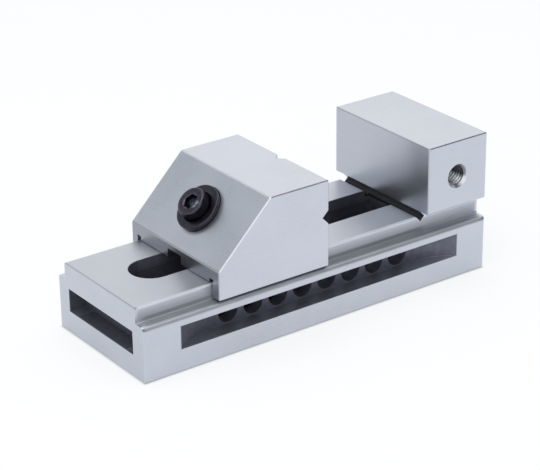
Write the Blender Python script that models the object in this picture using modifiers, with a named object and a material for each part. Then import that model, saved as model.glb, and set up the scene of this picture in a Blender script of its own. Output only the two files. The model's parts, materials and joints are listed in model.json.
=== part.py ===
"""Precision tool vise: a ground steel body with a fixed jaw, and a sliding jaw pulled down by one slanted screw.

The screw passes through the slanted face of the moving jaw. It draws a cross nut up into one of a row of
notches drilled through the body, so it pulls the jaw forward and down onto the rail in one movement.
The origin is the centre of the base, +X runs towards the fixed jaw and +Z is up. All lengths are in metres.
"""
import math

import bmesh
import bpy
from mathutils import Matrix, Vector

# Overall form
VISE_LENGTH = 0.175
VISE_WIDTH = 0.063
RAIL_TOP = 0.031
JAW_HEIGHT = 0.032
FIXED_JAW_THICKNESS = 0.032
EDGE_CHAMFER = 0.0004

# Rail and the step beside it
LEDGE_HEIGHT = 0.0242
RAIL_INSET = 0.00525
LEDGE_FILLET = 0.0008
LEDGE_EDGE_RADIUS = 0.0022
RAIL_EDGE_CHAMFER = 0.0006
OVERHANG_HEIGHT = 0.033
CORNER_RELIEF_WIDTH = 0.003
CORNER_RELIEF_DEPTH = 0.002

# Clamping slots in the front end and in both sides
CLAMP_SLOT_FLOOR = 0.0098
CLAMP_SLOT_HEIGHT = 0.0102
CLAMP_SLOT_DEPTH = 0.008
SLOT_CUTTER_RADIUS = 0.040
SIDE_SLOT_FRONT = 0.0174
SIDE_SLOT_REAR = 0.0144
END_SLOT_WIDTH = 0.0475

# Centre slot in the rail, and the cavity below it that the cross nut runs in
CENTRE_SLOT_WIDTH = 0.019
CENTRE_SLOT_FRONT = 0.0153
NUT_TUNNEL_REACH = 0.0065
NUT_TUNNEL_HEIGHT = 0.024
CAVITY_WIDTH = 0.035
CAVITY_CEILING = 0.0165
CAVITY_FRONT = 0.0145
CAVITY_REACH = 0.009
CAVITY_CORNER = 0.008

# Notches that the cross nut hooks into
NOTCH_COUNT = 8
NOTCH_PITCH = 0.0125
NOTCH_DIAMETER = 0.0095
FIRST_NOTCH = 0.0454

# Tapped hole for a work stop, in the near side of the fixed jaw
STOP_HOLE_BORE = 0.0085
STOP_HOLE_MOUTH = 0.0108
STOP_HOLE_DEPTH = 0.018

# Moving jaw
MOVING_JAW_LENGTH = 0.0545
JAW_OPENING = 0.0525
SLANT_RUN = 0.0255
SKIRT_GAP = 0.0008
SKIRT_CHAMFER = 0.001
SKIRT_RELIEF_WIDTH = 0.0026
SKIRT_RELIEF_HEIGHT = 0.002
SKIRT_RELIEF_BITE = 0.0008
UNDERSIDE_GROOVE_WIDTH = 0.0095
UNDERSIDE_GROOVE_HEIGHT = 0.004
VEE_DEPTH = 0.0033
VEE_HEIGHT = 0.016

# Ball seat, seat washer and clamp screw
SEAT_ALONG_SLANT = 0.0186
BALL_RADIUS = 0.014
BALL_RISE = 0.0093
WASHER_DIAMETER = 0.0206
WASHER_PROUD = 0.002
WASHER_THICKNESS = 0.0052
HEAD_SINK = 0.0015
THREAD_DIAMETER = 0.008
SCREW_LENGTH = 0.060
HEAD_DIAMETER = 0.013
HEAD_HEIGHT = 0.008
SOCKET_WIDTH = 0.006
SOCKET_DEPTH = 0.004
SCREW_SWING = 0.0025

# Cross nut and its spring
NUT_DROPPED_HEIGHT = 0.0086
NUT_BARREL_DIAMETER = 0.013
NUT_TRUNNION_DIAMETER = 0.0085
SPRING_WIRE = 0.0012
SPRING_DIAMETER = 0.0124
SPRING_TURNS = 7
SPRING_CLOSED_TURNS = 1
SPRING_SEAT_DEPTH = 0.0195

# Clearances
CLEARANCE = 0.0003
RUNNING_CLEARANCE = 0.0005
CUT_MARGIN = 0.004
RELIEF_ENTRY = 0.001
WELD_DISTANCE = 0.000001
AXIS_WELD_DISTANCE = 0.00001

# Tool angles in degrees, and how finely curves are divided
DRILL_POINT_ANGLE = 118
SHARP_EDGE_ANGLE = 30
ROUNDED_EDGE_END = 15
FLAT_FACE_ANGLE = 0.1
ROUND_SEGMENTS = 48
NOTCH_SEGMENTS = 32
DRILL_POINT_SEGMENTS = 24
ARC_STEPS = 12
COIL_STEPS = 14

# Places worked out from the sizes above
FRONT_X = -VISE_LENGTH / 2
REAR_X = VISE_LENGTH / 2
HALF_WIDTH = VISE_WIDTH / 2
TOTAL_HEIGHT = RAIL_TOP + JAW_HEIGHT
FIXED_FACE_X = REAR_X - FIXED_JAW_THICKNESS
RAIL_HALF = HALF_WIDTH - RAIL_INSET
CLAMP_SLOT_TOP = CLAMP_SLOT_FLOOR + CLAMP_SLOT_HEIGHT
NOTCH_Z = CLAMP_SLOT_FLOOR + CLAMP_SLOT_HEIGHT / 2
SLOT_END_X = FIXED_FACE_X + RELIEF_ENTRY
TUNNEL_END_X = FIXED_FACE_X + NUT_TUNNEL_REACH
MOVING_FACE_X = FIXED_FACE_X - JAW_OPENING
MOVING_REAR_X = MOVING_FACE_X - MOVING_JAW_LENGTH
SLANT_TOP_X = MOVING_REAR_X + SLANT_RUN
SLANT_LOW_Z = TOTAL_HEIGHT - SLANT_RUN
CHANNEL_TOP = RAIL_TOP + CLEARANCE
CHANNEL_HALF = RAIL_HALF + CLEARANCE
SKIRT_BOTTOM = LEDGE_HEIGHT + SKIRT_GAP
SLANT_OUT = Vector((-1, 0, 1)).normalized()
SLANT_UP = Vector((1, 0, 1)).normalized()
SEAT_CENTRE = Vector((MOVING_REAR_X, 0, SLANT_LOW_Z)) + SLANT_UP * SEAT_ALONG_SLANT
BALL_CENTRE = SEAT_CENTRE + SLANT_OUT * BALL_RISE
FIRST_NOTCH_X = FRONT_X + FIRST_NOTCH
SQUARE_SCREW_X = BALL_CENTRE.x + (BALL_CENTRE.z - NOTCH_Z) * SLANT_OUT.z / -SLANT_OUT.x
NOTCH_IN_USE = round((SQUARE_SCREW_X - FIRST_NOTCH_X) / NOTCH_PITCH)
NOTCH_CENTRE = Vector((FIRST_NOTCH_X + NOTCH_IN_USE * NOTCH_PITCH, 0, NOTCH_Z))
SCREW_OUT = (BALL_CENTRE - NOTCH_CENTRE).normalized()
NUT_DROP = (BALL_CENTRE.z - NUT_DROPPED_HEIGHT) / SCREW_OUT.z
HEAD_SEAT = -(BALL_RISE + HEAD_SINK)

PARTS = "precision_vise"
CUTTERS = "cutters"


def clear_scene():
    """Removes every object that the opening scene holds."""
    for item in list(bpy.data.objects):
        bpy.data.objects.remove(item, do_unlink=True)


def collection(name):
    """Returns the scene collection with this name, made when it is first asked for."""
    found = bpy.data.collections.get(name)
    if found is None:
        found = bpy.data.collections.new(name)
        bpy.context.scene.collection.children.link(found)
    return found


def metal(name, colour, roughness):
    """A bare metal finish."""
    finish = bpy.data.materials.new(name)
    finish.use_nodes = True
    surface = finish.node_tree.nodes["Principled BSDF"]
    surface.inputs["Base Color"].default_value = (*colour, 1)
    surface.inputs["Roughness"].default_value = roughness
    surface.inputs["Metallic"].default_value = 1
    return finish


def mesh_object(name, shape, group):
    """Wraps a bmesh as an object in the named collection."""
    mesh = bpy.data.meshes.new(name)
    shape.to_mesh(mesh)
    shape.free()
    item = bpy.data.objects.new(name, mesh)
    collection(group).objects.link(item)
    if group == CUTTERS:
        item.hide_render = True
        item.display_type = "WIRE"
    return item


def box(name, low, high, group=CUTTERS):
    """A box between two opposite corners."""
    low, high = Vector(low), Vector(high)
    shape = bmesh.new()
    bmesh.ops.create_cube(shape, size=1)
    bmesh.ops.scale(shape, vec=high - low, verts=shape.verts)
    item = mesh_object(name, shape, group)
    item.location = (low + high) / 2
    return item


def rod(name, radius, length, frame, group=CUTTERS, segments=ROUND_SEGMENTS, tip_radius=None):
    """A cylinder, cone or regular prism along the local Z axis of a frame, centred on its origin."""
    shape = bmesh.new()
    end_radius = radius if tip_radius is None else tip_radius
    bmesh.ops.create_cone(shape, cap_ends=True, segments=segments, radius1=end_radius, radius2=radius, depth=length)
    item = mesh_object(name, shape, group)
    item.matrix_world = frame
    return item


def ball(name, radius, centre):
    """A sphere used as a cutter."""
    shape = bmesh.new()
    bmesh.ops.create_uvsphere(shape, u_segments=ROUND_SEGMENTS, v_segments=ROUND_SEGMENTS // 2, radius=radius)
    item = mesh_object(name, shape, CUTTERS)
    item.location = centre
    return item


def arc(centre, radius, start, end, steps=ARC_STEPS):
    """Points along a circular arc between two angles in degrees."""
    angles = (math.radians(start + (end - start) * step / steps) for step in range(steps + 1))
    return [(centre[0] + radius * math.cos(angle), centre[1] + radius * math.sin(angle)) for angle in angles]


def plate(name, outline, thickness, frame, group=CUTTERS):
    """A flat outline, drawn in a frame's XY plane and thickened evenly to both sides of it."""
    curve = bpy.data.curves.new(name, "CURVE")
    curve.dimensions = "2D"
    curve.fill_mode = "BOTH"
    curve.extrude = thickness / 2
    spline = curve.splines.new("POLY")
    spline.points.add(len(outline) - 1)
    for point, (x, y) in zip(spline.points, outline):
        point.co = (x, y, 0, 1)
    spline.use_cyclic_u = True
    drawn = bpy.data.objects.new(name + "_outline", curve)
    collection(group).objects.link(drawn)
    drawn.matrix_world = frame
    bpy.context.view_layer.update()
    depsgraph = bpy.context.evaluated_depsgraph_get()
    mesh = bpy.data.meshes.new_from_object(drawn.evaluated_get(depsgraph))
    shape = bmesh.new()
    shape.from_mesh(mesh)
    bpy.data.meshes.remove(mesh)
    bmesh.ops.remove_doubles(shape, verts=shape.verts, dist=WELD_DISTANCE)
    flat = math.radians(FLAT_FACE_ANGLE)
    bmesh.ops.dissolve_limit(shape, angle_limit=flat, verts=shape.verts, edges=shape.edges)
    bmesh.ops.recalc_face_normals(shape, faces=shape.faces)
    item = mesh_object(name, shape, group)
    item.matrix_world = drawn.matrix_world
    bpy.data.objects.remove(drawn, do_unlink=True)
    return item


def turned(name, profile, frame, group=CUTTERS, closed=False, segments=ROUND_SEGMENTS):
    """A turned piece: a profile of (radius, height) points that runs top to bottom down its outer side."""
    mesh = bpy.data.meshes.new(name)
    count = len(profile)
    edges = [(step, step + 1) for step in range(count - 1)]
    if closed:
        edges.append((count - 1, 0))
    mesh.from_pydata([(radius, 0, height) for radius, height in profile], edges, [])
    item = bpy.data.objects.new(name, mesh)
    collection(group).objects.link(item)
    if group == CUTTERS:
        item.hide_render = True
        item.display_type = "WIRE"
    item.matrix_world = frame
    turning = item.modifiers.new("turning", "SCREW")
    turning.steps = segments
    turning.render_steps = segments
    turning.use_merge_vertices = True
    turning.merge_threshold = AXIS_WELD_DISTANCE
    turning.use_smooth_shade = True
    turning.use_normal_calculate = False
    return item


def chamfer(item, width):
    """Breaks the sharp edges of a piece."""
    edges = item.modifiers.new("broken_edges", "BEVEL")
    edges.width = width
    edges.segments = 1
    edges.limit_method = "ANGLE"
    edges.angle_limit = math.radians(SHARP_EDGE_ANGLE)


def cut(item, cutters):
    """Takes each cutter away from a piece, in the order given."""
    for cutter in cutters:
        removal = item.modifiers.new(cutter.name, "BOOLEAN")
        removal.operation = "DIFFERENCE"
        removal.solver = "EXACT"
        removal.object = cutter


def finish_with(item, finish):
    """Gives a piece its material."""
    item.data.materials.clear()
    item.data.materials.append(finish)


def axis_frame(origin, z_axis, y_axis=Vector((0, 1, 0))):
    """A frame at an origin, with its Z axis along one direction and its Y axis near another."""
    z_axis = Vector(z_axis).normalized()
    x_axis = Vector(y_axis).cross(z_axis).normalized()
    y_axis = z_axis.cross(x_axis)
    rotation = Matrix((x_axis, y_axis, z_axis)).transposed().to_4x4()
    return Matrix.Translation(origin) @ rotation


def along_x(origin=(0, 0, 0)):
    """A frame whose XY plane is the vise's cross-section, with its Z axis along the vise."""
    return axis_frame(origin, (1, 0, 0), (0, 0, 1))


def along_y(origin=(0, 0, 0)):
    """A frame whose XY plane is the vise's side view, with its Z axis towards the near side."""
    return axis_frame(origin, (0, -1, 0), (0, 0, 1))


def stadium(half_length, half_width, centre=(0, 0)):
    """A slot outline with round ends, longest along its first axis."""
    straight = half_length - half_width
    right = arc((centre[0] + straight, centre[1]), half_width, -90, 90)
    left = arc((centre[0] - straight, centre[1]), half_width, 90, 270)
    return right + left


def step_groove(side):
    """The step beside the rail, cut the whole length of the body and under the fixed jaw's side."""
    outer = HALF_WIDTH + CUT_MARGIN
    flare = EDGE_CHAMFER + CUT_MARGIN
    corner = (RAIL_HALF + LEDGE_FILLET, LEDGE_HEIGHT + LEDGE_FILLET)
    edge = (HALF_WIDTH - LEDGE_EDGE_RADIUS, LEDGE_HEIGHT - LEDGE_EDGE_RADIUS)
    outline = [(RAIL_HALF, OVERHANG_HEIGHT)] + arc(corner, LEDGE_FILLET, 180, 270)
    outline += arc(edge, LEDGE_EDGE_RADIUS, 90, ROUNDED_EDGE_END)
    across, up = outline[-1]
    outline += [(outer, up - (outer - across) / math.tan(math.radians(ROUNDED_EDGE_END)))]
    outline += [(outer, OVERHANG_HEIGHT + flare), (HALF_WIDTH - EDGE_CHAMFER, OVERHANG_HEIGHT)]
    mirrored = [(side * across, up) for across, up in outline]
    return plate("step_groove_" + ("far" if side > 0 else "near"), mirrored, VISE_LENGTH + 2 * CUT_MARGIN, along_x())


def corner_relief():
    """The slanted relief groove in the corner between the rail and the fixed jaw's face."""
    corner = Vector((FIXED_FACE_X, 0, RAIL_TOP))
    inward = Vector((1, 0, -1)).normalized()
    reach = CORNER_RELIEF_DEPTH + CUT_MARGIN
    half = CORNER_RELIEF_WIDTH / 2
    middle = corner + inward * (CORNER_RELIEF_DEPTH - CUT_MARGIN) / 2
    outline = [(-half, -reach / 2), (half, -reach / 2), (half, reach / 2), (-half, reach / 2)]
    frame = axis_frame(middle, (0, -1, 0), -inward)
    return plate("corner_relief", outline, 2 * RAIL_HALF + CUT_MARGIN, frame)


def rail_edge_chamfer(side):
    """The broken edge along one side of the rail's top, which ends in the corner relief."""
    front = FRONT_X - CUT_MARGIN
    length = FIXED_FACE_X - RELIEF_ENTRY - front
    edge = Vector((front + length / 2, side * RAIL_HALF, RAIL_TOP))
    reach = RAIL_EDGE_CHAMFER + CUT_MARGIN
    outline = [(-side * reach, CUT_MARGIN), (side * CUT_MARGIN, -reach), (side * CUT_MARGIN, CUT_MARGIN)]
    return plate("rail_edge_" + ("far" if side > 0 else "near"), outline, length, along_x(edge))


def centre_slot():
    """The slot through the rail's top, with a round front end."""
    radius = CENTRE_SLOT_WIDTH / 2
    start = FRONT_X + CENTRE_SLOT_FRONT
    outline = [(SLOT_END_X, -radius), (SLOT_END_X, radius)] + arc((start + radius, 0), radius, 90, 270)
    low = CAVITY_CEILING - RUNNING_CLEARANCE
    high = RAIL_TOP + RELIEF_ENTRY - CLEARANCE / 2
    frame = Matrix.Translation((0, 0, (low + high) / 2))
    return plate("centre_slot", outline, high - low, frame)


def nut_tunnel():
    """The end of the centre slot under the fixed jaw, milled from below so that the nut can pass."""
    radius = CENTRE_SLOT_WIDTH / 2 - CLEARANCE / 2
    start = SLOT_END_X - 2 * CENTRE_SLOT_WIDTH
    outline = [(start, radius), (start, -radius)] + arc((TUNNEL_END_X - radius, 0), radius, -90, 90)
    low = CAVITY_CEILING - 2 * RUNNING_CLEARANCE
    frame = Matrix.Translation((0, 0, (low + NUT_TUNNEL_HEIGHT) / 2))
    return plate("nut_tunnel", outline, NUT_TUNNEL_HEIGHT - low, frame)


def cavity():
    """The pocket milled into the base from below, which the cross nut runs in."""
    front = FRONT_X + CAVITY_FRONT
    rear = FIXED_FACE_X + CAVITY_REACH
    half = CAVITY_WIDTH / 2
    corner = CAVITY_CORNER
    outline = arc((rear - corner, half - corner), corner, 0, 90)
    outline += arc((front + corner, half - corner), corner, 90, 180)
    outline += arc((front + corner, corner - half), corner, 180, 270)
    outline += arc((rear - corner, corner - half), corner, 270, 360)
    low = -CUT_MARGIN
    frame = Matrix.Translation((0, 0, (low + CAVITY_CEILING) / 2))
    return plate("cavity", outline, CAVITY_CEILING - low, frame)


def end_slot():
    """The clamping slot across the front end."""
    half = END_SLOT_WIDTH / 2
    low = (FRONT_X - CUT_MARGIN, -half, CLAMP_SLOT_FLOOR)
    return box("end_slot", low, (FRONT_X + CLAMP_SLOT_DEPTH, half, CLAMP_SLOT_TOP))


def side_slot(side):
    """A clamping slot along one side, whose ends run out along the radius of the disc that cut it."""
    run_out = math.sqrt(2 * SLOT_CUTTER_RADIUS * CLAMP_SLOT_DEPTH - CLAMP_SLOT_DEPTH ** 2)
    sweep = math.degrees(math.asin(run_out / SLOT_CUTTER_RADIUS))
    floor = HALF_WIDTH - CLAMP_SLOT_DEPTH
    front = FRONT_X + SIDE_SLOT_FRONT + run_out
    rear = REAR_X - SIDE_SLOT_REAR - run_out
    outline = arc((front, floor + SLOT_CUTTER_RADIUS), SLOT_CUTTER_RADIUS, 270 - sweep, 270)
    outline += arc((rear, floor + SLOT_CUTTER_RADIUS), SLOT_CUTTER_RADIUS, 270, 270 + sweep)
    outline += [(rear + run_out, HALF_WIDTH + CUT_MARGIN), (front - run_out, HALF_WIDTH + CUT_MARGIN)]
    mirrored = [(along, side * across) for along, across in outline]
    name = "side_slot_" + ("far" if side > 0 else "near")
    return plate(name, mirrored, CLAMP_SLOT_HEIGHT, Matrix.Translation((0, 0, NOTCH_Z)))


def notches():
    """The row of holes drilled across the body, whose upper halves are the notches for the nut."""
    length = 2 * (HALF_WIDTH - CLAMP_SLOT_DEPTH / 2)
    drills = []
    for step in range(NOTCH_COUNT):
        centre = Vector((FIRST_NOTCH_X + step * NOTCH_PITCH, 0, NOTCH_Z))
        radius = NOTCH_DIAMETER / 2
        drills.append(rod(f"notch_{step + 1}", radius, length, along_y(centre), segments=NOTCH_SEGMENTS))
    return drills


def stop_hole():
    """The tapped hole for a work stop, with a countersunk mouth and a drilled end."""
    bore, mouth = STOP_HOLE_BORE / 2, STOP_HOLE_MOUTH / 2
    sink = mouth - bore
    profile = [(0, CUT_MARGIN), (mouth + CUT_MARGIN, CUT_MARGIN), (bore, -sink), (bore, -STOP_HOLE_DEPTH)]
    point = bore / math.tan(math.radians(DRILL_POINT_ANGLE / 2))
    profile += [(0, -STOP_HOLE_DEPTH - point)]
    middle = ((FIXED_FACE_X + REAR_X) / 2, -HALF_WIDTH, RAIL_TOP + JAW_HEIGHT / 2)
    return turned("stop_hole", profile, along_y(middle))


def vise_body(finish):
    """The base, the rail and the fixed jaw, ground from one block."""
    outline = [(FRONT_X, 0), (REAR_X, 0), (REAR_X, TOTAL_HEIGHT), (FIXED_FACE_X, TOTAL_HEIGHT)]
    outline += [(FIXED_FACE_X, RAIL_TOP), (FRONT_X, RAIL_TOP)]
    body = plate("vise_body", outline, VISE_WIDTH, along_y(), PARTS)
    chamfer(body, EDGE_CHAMFER)
    cutters = [step_groove(1), step_groove(-1), rail_edge_chamfer(1), rail_edge_chamfer(-1), corner_relief()]
    cutters += [centre_slot(), cavity(), nut_tunnel(), end_slot(), side_slot(1), side_slot(-1), stop_hole()]
    cut(body, cutters + notches())
    finish_with(body, finish)
    return body


def guide_channel():
    """The channel that fits over the rail, flared at the foot to clear the fillets beside the rail."""
    flare = SKIRT_CHAMFER + CUT_MARGIN
    half = [(CHANNEL_HALF, CHANNEL_TOP), (CHANNEL_HALF, SKIRT_BOTTOM + SKIRT_CHAMFER)]
    half += [(CHANNEL_HALF + flare, SKIRT_BOTTOM - CUT_MARGIN)]
    outline = half + [(-across, up) for across, up in reversed(half)]
    middle = (MOVING_REAR_X + MOVING_FACE_X) / 2
    return plate("guide_channel", outline, MOVING_JAW_LENGTH + 2 * CUT_MARGIN, along_x((middle, 0, 0)))


def skirt_relief(side):
    """The relief groove in one top corner of the guide channel."""
    outer = CHANNEL_HALF + SKIRT_RELIEF_BITE
    inner = outer - SKIRT_RELIEF_WIDTH
    low_z = RAIL_TOP - SKIRT_RELIEF_BITE
    across = sorted((side * inner, side * outer))
    low = (MOVING_REAR_X - CUT_MARGIN, across[0], low_z)
    high = (MOVING_FACE_X + CUT_MARGIN, across[1], RAIL_TOP + SKIRT_RELIEF_HEIGHT)
    return box("skirt_relief_" + ("far" if side > 0 else "near"), low, high)


def underside_groove():
    """The shallow groove along the middle of the moving jaw's underside."""
    half = UNDERSIDE_GROOVE_WIDTH / 2
    low = (MOVING_REAR_X - CUT_MARGIN, -half, CHANNEL_TOP - CUT_MARGIN)
    return box("underside_groove", low, (MOVING_FACE_X + CUT_MARGIN, half, RAIL_TOP + UNDERSIDE_GROOVE_HEIGHT))


def vee_outline():
    """A right-angled V that opens along the second axis, with its tip at the groove's depth."""
    reach = VEE_DEPTH + CUT_MARGIN
    return [(0, -VEE_DEPTH), (reach, CUT_MARGIN), (-reach, CUT_MARGIN)]


def vee_grooves():
    """The level and upright V grooves in the moving jaw's face, which hold round work."""
    outward = Vector((1, 0, 0))
    level = axis_frame((MOVING_FACE_X, 0, RAIL_TOP + VEE_HEIGHT), (0, 1, 0), outward)
    upright = axis_frame((MOVING_FACE_X, 0, TOTAL_HEIGHT / 2 + CHANNEL_TOP / 2), (0, 0, 1), outward)
    across = plate("level_vee", vee_outline(), VISE_WIDTH + CUT_MARGIN, level)
    rise = TOTAL_HEIGHT - CHANNEL_TOP + 2 * CUT_MARGIN
    return [across, plate("upright_vee", vee_outline(), rise, upright)]


def screw_passage():
    """The slotted way for the screw, and the wider pocket below it for the spring."""
    frame = axis_frame(BALL_CENTRE, SLANT_OUT)
    shank = THREAD_DIAMETER / 2 + 2 * CLEARANCE
    pocket = SPRING_DIAMETER / 2 + 3 * CLEARANCE
    length = BALL_CENTRE.z / SLANT_OUT.z
    narrow = frame @ Matrix.Translation((0, 0, -length / 2))
    seat = BALL_RISE + SPRING_SEAT_DEPTH
    wide = frame @ Matrix.Translation((0, 0, -(seat + length) / 2))
    way = plate("screw_way", stadium(shank + SCREW_SWING, shank), length, narrow)
    return [way, plate("spring_pocket", stadium(pocket + SCREW_SWING, pocket), length - seat, wide)]


def moving_jaw(finish):
    """The sliding jaw, with its slanted back, its skirts beside the rail and its V grooves."""
    outline = [(MOVING_REAR_X, SKIRT_BOTTOM), (MOVING_FACE_X, SKIRT_BOTTOM), (MOVING_FACE_X, TOTAL_HEIGHT)]
    outline += [(SLANT_TOP_X, TOTAL_HEIGHT), (MOVING_REAR_X, SLANT_LOW_Z)]
    jaw = plate("moving_jaw", outline, VISE_WIDTH, along_y(), PARTS)
    chamfer(jaw, EDGE_CHAMFER)
    cutters = [guide_channel(), skirt_relief(1), skirt_relief(-1), underside_groove()]
    cutters += vee_grooves() + [ball("ball_seat", BALL_RADIUS, BALL_CENTRE)] + screw_passage()
    cut(jaw, cutters)
    finish_with(jaw, finish)
    return jaw


def seat_washer(frame, finish):
    """The washer under the screw head, with a ball-shaped underside and a counterbore for the head."""
    rim = WASHER_DIAMETER / 2
    bore = THREAD_DIAMETER / 2 + CLEARANCE
    sink = HEAD_DIAMETER / 2 + CLEARANCE
    top = WASHER_PROUD - BALL_RISE
    bottom = top - WASHER_THICKNESS
    radius = BALL_RADIUS - CLEARANCE
    high_angle = math.degrees(math.asin(rim / radius))
    low_angle = math.degrees(math.acos(-bottom / radius))
    under = arc((0, 0), radius, high_angle - 90, low_angle - 90)
    profile = [(rim - EDGE_CHAMFER, top), (rim, top - EDGE_CHAMFER)] + under
    profile += [(bore, bottom), (bore, HEAD_SEAT), (sink, HEAD_SEAT), (sink, top - EDGE_CHAMFER)]
    profile += [(sink + EDGE_CHAMFER, top)]
    washer = turned("seat_washer", profile, frame, PARTS, closed=True)
    finish_with(washer, finish)
    return washer


def clamp_screw(frame, finish):
    """The socket head cap screw."""
    head, shank = HEAD_DIAMETER / 2, THREAD_DIAMETER / 2
    seat = HEAD_SEAT + CLEARANCE
    top = seat + HEAD_HEIGHT
    tip = seat - SCREW_LENGTH
    broken = 2 * EDGE_CHAMFER
    profile = [(0, top), (head - broken, top), (head, top - broken), (head, seat), (shank, seat)]
    profile += [(shank, tip + broken), (shank - broken, tip), (0, tip)]
    screw = turned("clamp_screw", profile, frame, PARTS)
    corner = SOCKET_WIDTH / math.sqrt(3)
    depth = SOCKET_DEPTH + CUT_MARGIN
    middle = frame @ Matrix.Translation((0, 0, top - SOCKET_DEPTH + depth / 2))
    socket = rod("hex_socket", corner, depth, middle, segments=6)
    point = SOCKET_WIDTH / 2 / math.tan(math.radians(DRILL_POINT_ANGLE / 2))
    overlap = CLEARANCE
    low = frame @ Matrix.Translation((0, 0, top - SOCKET_DEPTH - point / 2 + overlap))
    drilled = SOCKET_WIDTH / 2 - CLEARANCE
    cone = rod("socket_drill_point", drilled, point, low, segments=DRILL_POINT_SEGMENTS, tip_radius=0)
    cut(screw, [socket, cone])
    finish_with(screw, finish)
    return screw


def cross_nut(frame, finish):
    """The cross nut: a barrel in the centre slot, tapped for the screw, with a trunnion on each end."""
    barrel, trunnion = NUT_BARREL_DIAMETER / 2, NUT_TRUNNION_DIAMETER / 2
    shoulder = CENTRE_SLOT_WIDTH / 2 - RUNNING_CLEARANCE
    end = CAVITY_WIDTH / 2 - RUNNING_CLEARANCE
    broken = EDGE_CHAMFER
    half = [(0, end), (trunnion - broken, end), (trunnion, end - broken), (trunnion, shoulder)]
    half += [(barrel - broken, shoulder), (barrel, shoulder - broken)]
    profile = half + [(radius, -height) for radius, height in reversed(half)]
    centre = frame @ Vector((0, 0, -NUT_DROP))
    nut = turned("cross_nut", profile, along_y(centre), PARTS)
    bore = rod("nut_bore", THREAD_DIAMETER / 2 + CLEARANCE, 2 * NUT_BARREL_DIAMETER, axis_frame(centre, SCREW_OUT))
    cut(nut, [bore])
    finish_with(nut, finish)
    return nut


def nut_spring(frame, finish):
    """The spring that pushes the loosened nut down out of its notch, a wire coil round the screw."""
    wire = SPRING_WIRE / 2
    radius = SPRING_DIAMETER / 2 - wire
    high = -(BALL_RISE + SPRING_SEAT_DEPTH + CLEARANCE + wire)
    low = -NUT_DROP + NUT_BARREL_DIAMETER / 2 + CLEARANCE + wire
    turns = SPRING_TURNS + 2 * SPRING_CLOSED_TURNS
    curve = bpy.data.curves.new("nut_spring", "CURVE")
    curve.dimensions = "3D"
    curve.bevel_depth = wire
    curve.bevel_resolution = 2
    curve.use_fill_caps = True
    spline = curve.splines.new("POLY")
    count = turns * COIL_STEPS + 1
    spline.points.add(count - 1)
    closed_rise = SPRING_WIRE + CLEARANCE / 2
    active_rise = (high - low - 2 * SPRING_CLOSED_TURNS * closed_rise) / SPRING_TURNS
    for step, point in enumerate(spline.points):
        turn = step / COIL_STEPS
        lower = min(turn, SPRING_CLOSED_TURNS) * closed_rise
        middle = min(max(turn - SPRING_CLOSED_TURNS, 0), SPRING_TURNS) * active_rise
        upper = max(turn - SPRING_CLOSED_TURNS - SPRING_TURNS, 0) * closed_rise
        angle = 2 * math.pi * turn
        point.co = (radius * math.cos(angle), radius * math.sin(angle), low + lower + middle + upper, 1)
    spring = bpy.data.objects.new("nut_spring", curve)
    collection(PARTS).objects.link(spring)
    spring.matrix_world = frame
    finish_with(spring, finish)
    return spring


def parent_empty(name, place, parent=None):
    """An empty on a joint's axis, which carries the pieces that move about it."""
    empty = bpy.data.objects.new(name, None)
    collection(PARTS).objects.link(empty)
    empty.matrix_world = place
    attach(empty, parent)
    return empty


def attach(item, parent):
    """Parents an object and leaves it where it stands."""
    if parent is not None:
        bpy.context.view_layer.update()
        item.parent = parent
        item.matrix_parent_inverse = parent.matrix_world.inverted()


def main():
    """Builds the vise with its jaw half open and its nut dropped clear of the notches."""
    clear_scene()
    steel = metal("ground_steel", (0.62, 0.65, 0.70), 0.28)
    jaw_steel = metal("jaw_ground_steel", (0.64, 0.67, 0.72), 0.26)
    washer_black = metal("washer_black_oxide", (0.045, 0.042, 0.055), 0.38)
    screw_black = metal("screw_black_oxide", (0.05, 0.047, 0.06), 0.32)
    nut_steel = metal("nut_hardened_steel", (0.30, 0.30, 0.32), 0.42)
    spring_steel = metal("spring_wire", (0.42, 0.42, 0.44), 0.35)
    screw_frame = axis_frame(BALL_CENTRE, SCREW_OUT)
    vise_body(steel)
    jaw_carrier = parent_empty("jaw_slide_axis", Matrix.Translation((MOVING_FACE_X, 0, RAIL_TOP)))
    attach(moving_jaw(jaw_steel), jaw_carrier)
    lean_carrier = parent_empty("screw_lean_axis", Matrix.Translation(BALL_CENTRE), jaw_carrier)
    attach(seat_washer(screw_frame, washer_black), lean_carrier)
    attach(clamp_screw(screw_frame, screw_black), lean_carrier)
    attach(cross_nut(screw_frame, nut_steel), lean_carrier)
    attach(nut_spring(screw_frame, spring_steel), lean_carrier)
    bpy.context.view_layer.update()


main()
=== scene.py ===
"""Dresses the precision vise: ground and black finishes, screw, nut, spring, thread and a pale studio."""
import json
import logging
import math
from dataclasses import dataclass, field
from enum import Enum
from itertools import product
from typing import Callable, Sequence

import bmesh
import bpy
from mathutils import Matrix, Vector

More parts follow.
